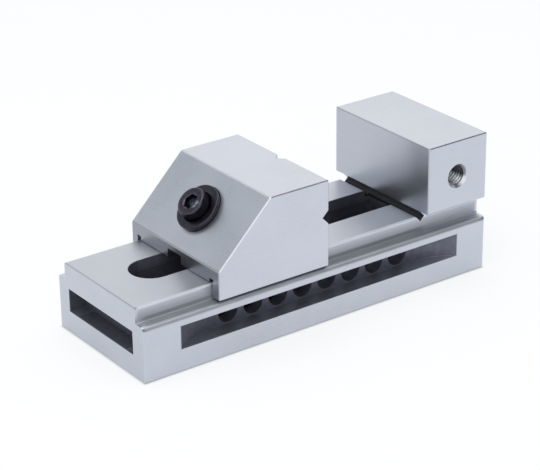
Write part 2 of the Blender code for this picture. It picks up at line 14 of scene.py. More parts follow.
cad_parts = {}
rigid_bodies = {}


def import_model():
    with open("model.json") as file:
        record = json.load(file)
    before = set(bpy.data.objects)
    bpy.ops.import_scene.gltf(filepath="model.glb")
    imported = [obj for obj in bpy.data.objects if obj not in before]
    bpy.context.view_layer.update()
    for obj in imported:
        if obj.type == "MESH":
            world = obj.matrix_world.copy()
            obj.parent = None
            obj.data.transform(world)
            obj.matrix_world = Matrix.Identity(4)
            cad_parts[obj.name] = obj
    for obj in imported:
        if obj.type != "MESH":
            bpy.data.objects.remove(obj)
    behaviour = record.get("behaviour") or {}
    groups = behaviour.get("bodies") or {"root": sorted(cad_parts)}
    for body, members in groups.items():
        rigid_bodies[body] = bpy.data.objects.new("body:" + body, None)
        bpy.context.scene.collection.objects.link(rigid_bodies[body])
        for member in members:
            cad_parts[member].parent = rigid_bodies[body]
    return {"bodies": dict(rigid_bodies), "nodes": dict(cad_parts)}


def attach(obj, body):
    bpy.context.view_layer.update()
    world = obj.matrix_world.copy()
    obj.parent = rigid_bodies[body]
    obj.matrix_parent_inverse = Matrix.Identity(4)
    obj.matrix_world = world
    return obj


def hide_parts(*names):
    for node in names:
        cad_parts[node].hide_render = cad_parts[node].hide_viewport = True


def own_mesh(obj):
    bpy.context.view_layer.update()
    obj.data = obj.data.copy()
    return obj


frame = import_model()

LOG = logging.getLogger("precision_vise")

Colour = tuple[float, float, float]
Point = tuple[float, float, float]
Box = tuple[Point, Point]
Ring = list[Point]
Section = list[tuple[float, float]]
Socket = bpy.types.NodeSocket
Tree = bpy.types.NodeTree

HAIR = 0.0001  # metres; the fade of a sharp edge
BOX_FACES = ((0, 1, 3, 2), (4, 6, 7, 5), (0, 4, 5, 1), (2, 3, 7, 6), (0, 2, 6, 4), (1, 5, 7, 3))


class Lay(Enum):
    """The direction in which the marks of a tool run over a surface."""

    ALONG = "along"
    AROUND = "around"


def clear_defaults() -> None:
    """Removes what an opening scene holds besides the loaded frame."""
    kept = set(frame["nodes"].values()) | set(frame["bodies"].values())
    for item in list(bpy.data.objects):
        if item not in kept:
            bpy.data.objects.remove(item, do_unlink=True)


class Nodes:
    """A material's node tree, with short calls for the nodes that the finishes share."""

    def __init__(self, name: str) -> None:
        """Starts an empty material with this name.

        Args:
            name: The material's name.
        """
        self.material = bpy.data.materials.new(name)
        self.material.use_nodes = True
        self.tree = self.material.node_tree
        self.shader = self.tree.nodes["Principled BSDF"]
        self.place = self.tree.nodes.new("ShaderNodeTexCoord")
        self.split = self.tree.nodes.new("ShaderNodeSeparateXYZ")
        self.link(self.place.outputs["Object"], self.split.inputs[0])

    def link(self, source: Socket, target: Socket) -> None:
        """Joins an output to an input."""
        self.tree.links.new(source, target)

    def put(self, value: object, target: Socket) -> None:
        """Gives an input a number, a colour or another node's output.

        Args:
            value: A number, a tuple or an output socket.
            target: The input that takes it.
        """
        if isinstance(value, Socket):
            self.link(value, target)
        else:
            target.default_value = value

    def math(self, operation: str, first: object, second: object = 0.0) -> Socket:
        """Adds a Math node.

        Args:
            operation: Blender's name for the operation.
            first: The first value or socket.
            second: The second value or socket.

        Returns:
            The result's socket.
        """
        node = self.tree.nodes.new("ShaderNodeMath")
        node.operation = operation
        self.put(first, node.inputs[0])
        self.put(second, node.inputs[1])
        return node.outputs[0]

    def ramp(self, value: object, low: float, high: float, start: float = 0.0, end: float = 1.0) -> Socket:
        """Maps a value smoothly from one range to another and holds it there.

        Args:
            value: The value or socket to map.
            low: The input that gives the start.
            high: The input that gives the end.
            start: The result at the low input.
            end: The result at the high input.

        Returns:
            The mapped value's socket.
        """
        node = self.tree.nodes.new("ShaderNodeMapRange")
        node.interpolation_type = "SMOOTHSTEP"
        self.put(value, node.inputs["Value"])
        for name, number in (("From Min", low), ("From Max", high), ("To Min", start), ("To Max", end)):
            node.inputs[name].default_value = number
        return node.outputs["Result"]

    def blend(self, factor: object, first: object, second: object) -> Socket:
        """Mixes two colours.

        Args:
            factor: The share of the second colour.
            first: The first colour, as a tuple or a socket.
            second: The second colour, as a tuple or a socket.

        Returns:
            The mixed colour's socket.
        """
        node = self.tree.nodes.new("ShaderNodeMix")
        node.data_type = "RGBA"
        self.put(factor, node.inputs[0])
        for value, target in ((first, node.inputs[6]), (second, node.inputs[7])):
            self.put((*value, 1.0) if isinstance(value, tuple) else value, target)
        return node.outputs[2]

    def noise(self, stretch: Point, detail: float = 3.0, shift: float = 0.0) -> Socket:
        """Adds a noise whose grain per metre differs along each axis.

        Args:
            stretch: Grains per metre along X, Y and Z.
            detail: The noise's number of finer layers.
            shift: A distance that moves the pattern, so that two noises differ.

        Returns:
            The noise's value socket, about 0.5 on average.
        """
        moved = self.tree.nodes.new("ShaderNodeMapping")
        moved.inputs["Scale"].default_value = stretch
        moved.inputs["Location"].default_value = (shift, shift, shift)
        self.link(self.place.outputs["Object"], moved.inputs["Vector"])
        texture = self.tree.nodes.new("ShaderNodeTexNoise")
        texture.inputs["Scale"].default_value = 1.0
        texture.inputs["Detail"].default_value = detail
        texture.inputs["Roughness"].default_value = 0.55
        self.link(moved.outputs["Vector"], texture.inputs["Vector"])
        return texture.outputs[0]

    def tinted(self, colour: Socket, factor: object) -> Socket:
        """Makes a colour lighter or darker.

        Args:
            colour: The colour's socket.
            factor: The factor, as a number or a socket.

        Returns:
            The new colour's socket.
        """
        node = self.tree.nodes.new("ShaderNodeVectorMath")
        node.operation = "SCALE"
        self.put(colour, node.inputs[0])
        self.put(factor, node.inputs[3])
        return node.outputs[0]

    def within(self, low: Point, high: Point, soft: Point) -> Socket:
        """Gives 1 inside a box in the vise's own frame and 0 outside it.

        Args:
            low: The box's lowest corner in metres.
            high: The box's highest corner in metres.
            soft: How far the edge fades inwards along each axis, in metres.

        Returns:
            The mask's socket.
        """
        mask: object = 1.0
        for axis in range(3):
            centre, half = (low[axis] + high[axis]) / 2, (high[axis] - low[axis]) / 2
            away = self.math("ABSOLUTE", self.math("SUBTRACT", self.split.outputs[axis], centre))
            mask = self.math("MULTIPLY", mask, self.ramp(away, half - soft[axis], half, 1.0, 0.0))
        return mask

    def near(self, point: Point, reach: float, soft: float) -> Socket:
        """Gives 1 close to a point in the vise's own frame and 0 away from it.

        Args:
            point: The point in metres.
            reach: How far the 1 reaches, in metres.
            soft: How far it fades beyond that, in metres.

        Returns:
            The mask's socket.
        """
        node = self.tree.nodes.new("ShaderNodeVectorMath")
        node.operation = "DISTANCE"
        self.link(self.place.outputs["Object"], node.inputs[0])
        node.inputs[1].default_value = point
        return self.ramp(node.outputs["Value"], reach, reach + soft, 1.0, 0.0)

    def bump(self, height: object, strength: float, depth: float) -> None:
        """Gives the surface a relief.

        Args:
            height: The relief's socket.
            strength: How strongly it shows.
            depth: Its depth in metres.
        """
        node = self.tree.nodes.new("ShaderNodeBump")
        node.inputs["Strength"].default_value = strength
        node.inputs["Distance"].default_value = depth
        self.put(height, node.inputs["Height"])
        self.link(node.outputs["Normal"], self.shader.inputs["Normal"])

    def coat(self, colour: Socket, roughness: Socket, metal: object = 1.0) -> None:
        """Sets the shader's colour, roughness and metal.

        Args:
            colour: The colour's socket.
            roughness: The roughness's socket.
            metal: The share of metal.
        """
        self.put(colour, self.shader.inputs["Base Color"])
        self.put(roughness, self.shader.inputs["Roughness"])
        self.put(metal, self.shader.inputs["Metallic"])


@dataclass(frozen=True)
class Patch:
    """A box within which the steel is lighter, darker or duller than the rest, mostly painted shade or painted
    light.

    Attributes:
        low: The box's lowest corner in metres.
        high: The box's highest corner in metres.
        soft: How far it fades inwards along each axis, in metres.
        shade: The factor on the colour.
        duller: How much rougher the surface is.
    """

    low: Point
    high: Point
    soft: Point
    shade: float
    duller: float = 0.0


@dataclass(frozen=True)
class PaintedShadow:
    """A faint round painted shadow on the steel.

    Attributes:
        point: Its middle in metres.
        reach: How far its full strength goes, in metres.
        soft: How far it fades beyond that, in metres.
        shade: The factor on the colour.
    """

    point: Point
    reach: float
    soft: float
    shade: float


@dataclass(frozen=True)
class GroundSteel:
    """Hardened steel, ground bright outside and left dark where no grinding wheel reaches.

    Attributes:
        name: The material's name.
        colour: The bright ground colour.
        roughness: The ground surface's roughness.
        dark: Boxes whose milled walls hardening left dark.
        patches: Places that are lighter, darker or duller, mostly painted shade and painted light.
        painted_shadows: Round painted shadows.
        scale_colour: The colour of the dark scale.
        scale_roughness: The dark scale's least roughness.
        scale_metal: The dark scale's share of metal.
        streak_length: Grinding streaks per metre along their run.
        streak_width: Grinding streaks per metre across their run.
        mask_edge: How far a dark wall's edge fades, in metres.
    """

    name: str
    colour: Colour
    roughness: float
    dark: tuple[Box, ...]
    patches: tuple[Patch, ...] = ()
    painted_shadows: tuple[PaintedShadow, ...] = ()
    scale_colour: Colour = (0.120, 0.122, 0.158)
    scale_roughness: float = 0.38
    scale_metal: float = 0.45
    streak_length: float = 42.0
    streak_width: float = 5200.0
    mask_edge: Point = (0.00025, 0.00025, 0.00025)

    def material(self) -> bpy.types.Material:
        """Builds the finish.

        Returns:
            The finished material.
        """
        nodes = Nodes(self.name)
        length, width = self.streak_length, self.streak_width
        lengthwise = nodes.noise((length, width, width), 4.0)
        crosswise = nodes.noise((width, length, width), 4.0, 3.7)
        facing = nodes.tree.nodes.new("ShaderNodeSeparateXYZ")
        nodes.link(nodes.place.outputs["Normal"], facing.inputs[0])
        endwise = nodes.ramp(nodes.math("ABSOLUTE", facing.outputs[0]), 0.55, 0.65)
        marks = nodes.tree.nodes.new("ShaderNodeMix")
        nodes.put(endwise, marks.inputs[0])
        nodes.put(lengthwise, marks.inputs[2])
        nodes.put(crosswise, marks.inputs[3])
        streaks = marks.outputs[0]
        cloud = nodes.noise((38.0, 38.0, 38.0), 4.0, 1.3)
        darker, lighter = (tuple(value * factor for value in self.colour) for factor in (0.97, 1.02))
        ground = nodes.blend(nodes.ramp(cloud, 0.34, 0.66), darker, lighter)
        scored = nodes.ramp(streaks, 0.30, 0.70, 0.0, 0.12)
        ground = nodes.blend(scored, ground, tuple(value * 0.84 for value in self.colour))
        mask: object = 0.0
        for low, high in self.dark:
            mask = nodes.math("MAXIMUM", mask, nodes.within(low, high, self.mask_edge))
        mottled = nodes.noise((420.0, 420.0, 420.0), 5.0, 6.1)
        lighter_scale = tuple(value * 1.22 for value in self.scale_colour)
        scale = nodes.blend(nodes.ramp(mottled, 0.35, 0.70), self.scale_colour, lighter_scale)
        colour = nodes.blend(mask, ground, scale)
        polish = nodes.math("ADD", nodes.ramp(streaks, 0.25, 0.75, -0.03, 0.05), self.roughness)
        polish = nodes.math("ADD", polish, nodes.ramp(cloud, 0.3, 0.7, -0.02, 0.03))
        for patch in self.patches:
            inside = nodes.within(patch.low, patch.high, patch.soft)
            colour = nodes.tinted(colour, nodes.ramp(inside, 0.0, 1.0, 1.0, patch.shade))
            if patch.duller:
                polish = nodes.math("ADD", polish, nodes.math("MULTIPLY", inside, patch.duller))
        # Painted shadows: each darkens the colour round a point.
        for shadow_spot in self.painted_shadows:
            close = nodes.near(shadow_spot.point, shadow_spot.reach, shadow_spot.soft)
            colour = nodes.tinted(colour, nodes.ramp(close, 0.0, 1.0, 1.0, shadow_spot.shade))
        polish = nodes.math("MAXIMUM", polish, nodes.math("MULTIPLY", mask, self.scale_roughness))
        nodes.coat(colour, polish, nodes.ramp(mask, 0.0, 1.0, 1.0, self.scale_metal))
        height = nodes.math("ADD", streaks, nodes.math("MULTIPLY", mottled, mask))
        nodes.bump(height, 0.07, 0.00002)
        return nodes.material


@dataclass(frozen=True)
class BlackOxide:
    """Blackened steel with a faint violet cast, rubbed brighter in places, with painted glints and painted light
    at some points.

    Attributes:
        name: The material's name.
        colour: The coat's colour.
        roughness: The coat's roughness.
        painted_light_marks: Points in metres, each with the reach within which a key has worn the coat through
            and a glint is painted.
        dust_and_painted_light: Points in metres, each with the reach within which dust lies on the coat, paler
            to stand in for light.
        rubbed: The colour where the coat is rubbed.
        bare_and_glint: The colour where it is worn through and painted as a glint.
        dust_and_light_colour: The colour of the dust and of the painted light.
    """

    name: str
    colour: Colour
    roughness: float
    painted_light_marks: tuple[tuple[Point, float], ...] = ()
    dust_and_painted_light: tuple[tuple[Point, float], ...] = ()
    rubbed: Colour = (0.16, 0.158, 0.18)
    bare_and_glint: Colour = (0.36, 0.35, 0.43)
    dust_and_light_colour: Colour = (0.125, 0.145, 0.195)

    def material(self) -> bpy.types.Material:
        """Builds the finish.

        Returns:
            The finished material.
        """
        nodes = Nodes(self.name)
        wear = nodes.noise((900.0, 900.0, 900.0), 5.0, 2.0)
        film = nodes.noise((160.0, 160.0, 160.0), 3.0, 4.4)
        warm = tuple(value * factor for value, factor in zip(self.colour, (1.24, 1.15, 1.20)))
        colour = nodes.blend(nodes.ramp(film, 0.35, 0.65), self.colour, warm)
        colour = nodes.blend(nodes.ramp(wear, 0.60, 0.78, 0.0, 0.35), colour, self.rubbed)
        # Painted glints: at each point the coat is worn bare and brightened.
        for point, reach in self.painted_light_marks:
            close = nodes.near(point, reach * 0.35, reach)
            share = nodes.math("MULTIPLY", close, nodes.ramp(wear, 0.40, 0.58, 0.15, 1.0))
            colour = nodes.blend(share, colour, self.bare_and_glint)
        metal: object = 1.0
        nodes.put(metal, nodes.shader.inputs["Metallic"])
        # Dust in the socket, paler and less metallic, which also stands in for painted light there.
        for point, reach in self.dust_and_painted_light:
            share = nodes.near(point, reach * 0.5, reach)
            colour = nodes.blend(share, colour, self.dust_and_light_colour)
            metal = nodes.ramp(share, 0.0, 1.0, 1.0, 0.15)
        polish = nodes.ramp(wear, 0.3, 0.7, self.roughness - 0.05, self.roughness + 0.09)
        nodes.coat(colour, polish, metal)
        nodes.bump(wear, 0.08, 0.00003)
        return nodes.material


@dataclass(frozen=True)
class TurnedSteel:
    """Plain steel with fine tool marks, either along a wire or round a turned piece.

    Attributes:
        name: The material's name.
        colour: The steel's colour.
        roughness: The steel's roughness.
        lay: The direction of the tool marks.
        shaded_above: The height in metres above which painted shade darkens it, if any.
    """

    name: str
    colour: Colour
    roughness: float
    lay: Lay
    shaded_above: float | None = None

    def material(self) -> bpy.types.Material:
        """Builds the finish.

        Returns:
            The finished material.
        """
        nodes = Nodes(self.name)
        grains = (700.0, 4200.0, 700.0) if self.lay is Lay.AROUND else (1500.0, 1500.0, 1500.0)
        marks = nodes.noise(grains, 3.0, 0.9)
        cloud = nodes.noise((220.0, 220.0, 220.0), 3.0, 5.2)
        darker = tuple(value * 0.72 for value in self.colour)
        colour = nodes.blend(nodes.ramp(cloud, 0.35, 0.65), darker, self.colour)
        # Painted shade over the part above the given height.
        if self.shaded_above is not None:
            low, high = self.shaded_above - 0.0012, self.shaded_above + 0.0008
            colour = nodes.tinted(colour, nodes.ramp(nodes.split.outputs[2], low, high, 1.0, 0.16))
        nodes.coat(colour, nodes.ramp(marks, 0.3, 0.7, self.roughness - 0.06, self.roughness + 0.08))
        nodes.bump(marks, 0.12, 0.00003)
        return nodes.material


def loft(rings: Sequence[Ring], place: Matrix, closed: bool = False) -> bmesh.types.BMesh:
    """Joins rings with equal numbers of points into one closed skin.

    Args:
        rings: The rings in order, each turning the same way, or single points at the ends.
        place: The local frame that the points are given in.
        closed: Whether the last ring joins the first, as on a washer.

    Returns:
        The skin, in the row frame.
    """
    shape = bmesh.new()
    rows = [[shape.verts.new(place @ Vector(point)) for point in ring] for ring in rings]
    pairs = list(zip(rows, rows[1:])) + ([(rows[-1], rows[0])] if closed else [])
    for upper, lower in pairs:
        count = max(len(upper), len(lower))
        for step in range(count):
            after = (step + 1) % count
            corners = [upper[step % len(upper)], lower[step % len(lower)]]
            corners += [lower[after % len(lower)], upper[after % len(upper)]]
            shape.faces.new(list(dict.fromkeys(corners)))
    bmesh.ops.recalc_face_normals(shape, faces=shape.faces)
    return shape


def piece(name: str, shape: bmesh.types.BMesh, finish: bpy.types.Material, body: str,
          sharp: float = 32.0) -> bpy.types.Object:
    """Makes an object of a skin, smooth except at its sharp edges, and lets it ride on a body.

    Args:
        name: The object's name.
        shape: The skin, in the row frame.
        finish: The material.
        body: The body that it moves with.
        sharp: The angle in degrees from which an edge stays sharp.

    Returns:
        The new object.
    """
    mesh = bpy.data.meshes.new(name)
    shape.to_mesh(mesh)
    shape.free()
    mesh.polygons.foreach_set("use_smooth", [True] * len(mesh.polygons))
    mesh.set_sharp_from_angle(angle=math.radians(sharp))
    mesh.materials.append(finish)
    item = bpy.data.objects.new(name, mesh)
    bpy.context.scene.collection.objects.link(item)
    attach(item, body)
    LOG.info("%s: %d faces on %s", name, len(mesh.polygons), body)
    return item


def ring_at(height: float, radius: Callable[[float], float], count: int) -> Ring:
    """Points round the local Z axis, with a radius that may change with the angle.

    Args:
        height: The ring's height along the axis.
        radius: The radius at an angle in radians.
        count: The number of points.

    Returns:
        The ring's points.
    """
    angles = (2 * math.pi * step / count for step in range(count))
    return [(radius(angle) * math.cos(angle), radius(angle) * math.sin(angle), height) for angle in angles]


def turned(section: Section, count: int) -> list[Ring]:
    """Turns a section round the local Z axis.

    Args:
        section: Pairs of a radius and a height.
        count: The number of points in each ring.

    Returns:
        One ring for each pair.
    """
    return [ring_at(height, lambda angle, wide=radius: wide, count) for radius, height in section]


def axis_frame(origin: Vector, z_axis: Vector) -> Matrix:
    """Builds a frame at an origin whose Z axis runs along a direction.

    Args:
        origin: The frame's origin in metres.
        z_axis: The direction of its Z axis.

    Returns:
        The frame as a matrix, with its Y axis level across the vise where it can be.
    """
    z_axis = z_axis.normalized()
    across = Vector((0, 1, 0)) if abs(z_axis.y) < 0.9 else Vector((0, 0, 1))
    x_axis = across.cross(z_axis).normalized()
    rotation = Matrix((x_axis, z_axis.cross(x_axis), z_axis)).transposed().to_4x4()
    return Matrix.Translation(origin) @ rotation


def thread_wave(turns: float) -> float:
    """The height of a V thread's flank, from 0 at the root to 1 at the crest, at a number of turns."""
    share = turns % 1.0
    return min(1.0, max(0.0, 1.5 - abs(share - 0.5) * 4.0))


@dataclass
class ScrewAxis:
    """The slanted axis that the screw, washer, spring and nut share, seen from the ball seat's centre."""

    ball_centre: Vector = field(default_factory=lambda: Vector((-0.044924, 0.0, 0.057228)))
    out: Vector = field(default_factory=lambda: Vector((-0.689756, 0.0, 0.724042)))

    def place(self) -> Matrix:
        """The axis's frame, with its Z axis pointing out of the jaw."""
        return axis_frame(self.ball_centre, self.out)


@dataclass
class ViseBody:
    """The base, rail and fixed jaw, and the thread in the stop hole."""

    front: float = -0.0875
    rear: float = 0.0875
    half_width: float = 0.0315
    rail_half: float = 0.02625
    slot_low: float = 0.0098
    slot_high: float = 0.0200
    rail_top: float = 0.031
    jaw_face: float = 0.0555
    skin: float = 0.0003
    hole_x: float = 0.0715
    hole_z: float = 0.047
    hole_radius: float = 0.00425
    hole_depth: float = 0.0165
    thread_pitch: float = 0.0015
    thread_height: float = 0.00055
    thread_points: int = 48
    thread_rows: int = 8
    hole_reach: float = 0.0050
    overlap: float = 0.008
    jaw_top: float = 0.0640

    def dark_walls(self) -> tuple[Box, ...]:
        """The insides of the slots, the cavity, the notches and the stop hole.

        Returns:
            Boxes whose walls are left dark.
        """
        front, rear, skin, half = self.front + self.skin, self.rear - self.skin, self.skin, self.half_width
        x, z, reach, face, top = self.hole_x, self.hole_z, self.hole_reach, self.jaw_face, self.rail_top
        slots = ((front, skin - half, self.slot_low - HAIR), (rear, half - skin, self.slot_high + HAIR))
        cavity = ((front, -0.0180, skin), (rear, 0.0180, 0.0245))
        centre = ((-0.0735, -0.0097, 0.0150), (0.0640, 0.0097, top - skin))
        hole = ((x - reach, 0.0016 - half, z - reach), (x + reach, -0.0080, z + reach))
        inset = self.rail_half - 0.00015
        relief = ((face - 0.0012, -inset, top - 0.0030), (face + 0.0026, inset, top + 0.0011))
        return slots, cavity, centre, hole, relief

    def patches(self) -> tuple[Patch, ...]:
        """The places where the ground steel isn't evenly bright, mostly painted shade and painted light.

        Returns:
            Painted shade on the step beside the rail, which is also duller, on the front end, the front of the
            rail top, the fixed jaw's face, the relief, the centre slot and the stop hole's mouth; a darker,
            duller rail top; painted highlights on the rail's edges; painted light at the side slots' rear ends.
        """
        end, half, face, top = self.rear - 0.0002, self.half_width + self.overlap, self.jaw_face, self.rail_top
        inner, side = self.half_width - self.skin, self.rail_half
        # Painted shade on the step's wall, its foot, its ledge and the ledge's outer brims, with a duller wall;
        # painted highlights on the rail's upper edges.
        step = Patch((-end, -half, 0.0222), (end, half, 0.0303), (0.0016, HAIR, 0.0012), 0.92, 0.24)
        foot = Patch((-end, -half, 0.0240), (end, half, 0.0298), (0.0016, HAIR, 0.0030), 0.88)
        ledge = Patch((-end, -half, 0.0234), (0.0600, half, 0.0268), (0.0060, HAIR, 0.0014), 0.70)
        ledge_rear = Patch((-0.0200, -half, 0.0234), (0.0900, half, 0.0268), (0.0500, HAIR, 0.0014), 0.86)
        brims = tuple(Patch((-end, low, 0.0236), (end, low + 0.0030, 0.0250),
                            (0.0040, 0.0010, 0.0004), 0.64)
                      for low in (-self.half_width - 0.0002, self.half_width - 0.0028))
        edges = tuple(Patch((-end, low, 0.0299), (end, low + 0.0011, top + 0.0003),
                            (0.0016, 0.0002, 0.0004), 1.30, 0.25)
                      for low in (-side - 0.0002, side - 0.0009))
        # Painted shade on the front end and on the front of the rail top; the whole rail top is also a little
        # darker and duller.
        front = Patch((self.front - self.skin, -half, -0.001), (self.front + self.skin, half, top),
                      (HAIR, HAIR, HAIR), 0.93)
        rail = Patch((-0.1, -half, top - 0.0004), (face, half, top + 0.0004),
                     (HAIR, HAIR, 0.0002), 0.94, 0.08)
        apron = Patch((-0.1600, -half, top - 0.0004), (-0.0350, half, top + 0.0004),
                      (0.0300, HAIR, 0.0002), 0.93)
        # Painted shade on the fixed jaw's face, deepest towards its near edge.
        painted_light_marks = Patch((face - 0.0004, -half, top), (face + 0.0004, half, self.jaw_top),
                     (HAIR, HAIR, 0.0002), 0.84, 0.02)
        near = Patch((face - 0.0004, -half, top), (face + 0.0004, -0.0100, self.jaw_top),
                     (HAIR, 0.0180, 0.0002), 0.80)
        # Painted shade deep in the relief under the fixed jaw.
        relief = Patch((face - 0.0012, -self.rail_half, top - 0.0030),
                       (face + 0.0026, self.rail_half, top - HAIR),
                       (HAIR, HAIR, HAIR), 0.16)
        # Painted light at the side slots' rear ends.
        slot_end = Patch((0.0350, -inner, self.slot_low - 0.0004), (0.0960, inner, self.slot_high + 0.0002),
                         (0.0300, HAIR, 0.0002), 1.12)
        # Painted shade in the rear of the centre slot.
        pit = Patch((0.0250, -0.0098, 0.0005), (0.0645, 0.0098, top - self.skin),
                    (0.0200, HAIR, HAIR), 0.50)
        # Painted shade round the upper part of the stop hole's mouth.
        x, z, mouth = self.hole_x, self.hole_z, self.half_width
        collar = Patch((x - 0.0050, 0.0003 - mouth, z - 0.0020), (x + 0.0050, 0.0019 - mouth, z + 0.0060),
                       (HAIR, HAIR, 0.0020), 0.42)
        return (step, foot, ledge, ledge_rear, *brims, *edges, front, rail, apron, painted_light_marks, near, relief,
                slot_end, pit, collar)

    def finish(self) -> bpy.types.Material:
        """The body's ground steel."""
        walls, patches = self.dark_walls(), self.patches()
        return GroundSteel("ground_body_steel", (0.63, 0.66, 0.72), 0.30, walls, patches).material()

    def stop_thread(self, finish: bpy.types.Material) -> bpy.types.Object:
        """Builds the fine thread inside the stop hole.

        Args:
            finish: The material.

        Returns:
            The thread, which rides on the body.
        """
        count, pitch = self.thread_points, self.thread_pitch
        start, end = -0.0014, -self.hole_depth
        rows = int((start - end) / pitch * self.thread_rows)
        place = axis_frame(Vector((self.hole_x, -self.half_width, self.hole_z)), Vector((0, -1, 0)))
        outer = self.hole_radius + 0.00025

        def inner(height: float) -> Callable[[float], float]:
            """The thread's radius at a depth, as a function of the angle."""
            fade = min(1.0, (start - height) / pitch, (height - end) / pitch)
            return lambda angle: self.hole_radius - 0.00002 - fade * self.thread_height * thread_wave(
                height / pitch - angle / (2 * math.pi))

        rings = [ring_at(start, lambda angle: outer, count)]
        for row in range(rows + 1):
            height = start + (end - start) * row / rows
            rings.append(ring_at(height, inner(height), count))
        rings.append(ring_at(end, lambda angle: outer, count))
        item = piece("stop_hole_thread", loft(rings, place, closed=True), finish, "base")
        return item

    def build(self) -> None:
        """Dresses the body and adds its thread."""
        steel = self.finish()
        node = frame["nodes"]["vise_body"]
        for holder in node.material_slots:
            holder.material = steel
        # A pale thread whose upper part carries painted shade.
        thread = TurnedSteel("cut_thread_steel", (0.86, 0.88, 0.92), 0.52, Lay.AROUND, self.hole_z - 0.0014)
        self.stop_thread(thread.material())
        LOG.info("vise_body: dressed")


@dataclass
class MovingJaw:
    """The sliding jaw, ground all over but for the screw's passage."""

    rear: float = -0.0515
    face: float = 0.003
    passage_half: float = 0.0085
    sole_top: float = 0.03135
    rail_top: float = 0.031
    rail_half: float = 0.02625
    fit: float = 0.00003
    washer_shade: Point = (-0.0386, -0.0020, 0.0503)

    def guide_faces(self, finish: bpy.types.Material) -> bpy.types.Object:
        """Builds the thin ground faces that close the jaw's sliding fit on the rail.

        Args:
            finish: The material.

        Returns:
            The faces, which ride on the jaw.
        """
        shape = bmesh.new()
        rear, face = self.rear + 0.0003, self.face - 0.0003
        for side in (1, -1):
            sole = ((rear, side * 0.0097, self.rail_top + self.fit),
                    (face, side * 0.0246, self.sole_top))
            cheek = ((rear, side * (self.rail_half + self.fit), 0.0256),
                     (face, side * (self.rail_half + 0.00035), 0.0300))
            for low, high in (sole, cheek):
                corners = [shape.verts.new(corner) for corner in product(*zip(low, high))]
                for loop in BOX_FACES:
                    shape.faces.new([corners[index] for index in loop])
        bmesh.ops.recalc_face_normals(shape, faces=shape.faces)
        bmesh.ops.bevel(shape, geom=shape.edges[:], offset=0.00005, segments=1, affect="EDGES")
        return piece("ground_guide_faces", shape, finish, "jaw")

    def build(self) -> None:
        """Dresses the jaw and closes its fit."""
        rear, edge = self.rear, 0.0004
        inside = ((rear + 0.0125, -self.passage_half, 0.0357), (self.face - 0.006, self.passage_half, 0.0525))
        foot = Patch((rear - edge, -0.0330, 0.0240), (rear + edge, 0.0330, 0.0385),
                     (HAIR, 0.0030, 0.0005), 0.54, 0.06)
        # Painted shadow on the slanted face below and to the near side of the washer.
        washer_shadow = PaintedShadow(self.washer_shade, 0.0096, 0.0026, 0.66)
        steel = GroundSteel("ground_jaw_steel", (0.65, 0.675, 0.74), 0.29, (inside,), (foot,), (washer_shadow,)).material()
        for holder in frame["nodes"]["moving_jaw"].material_slots:
            holder.material = steel
        self.guide_faces(steel)
        LOG.info("moving_jaw: dressed")


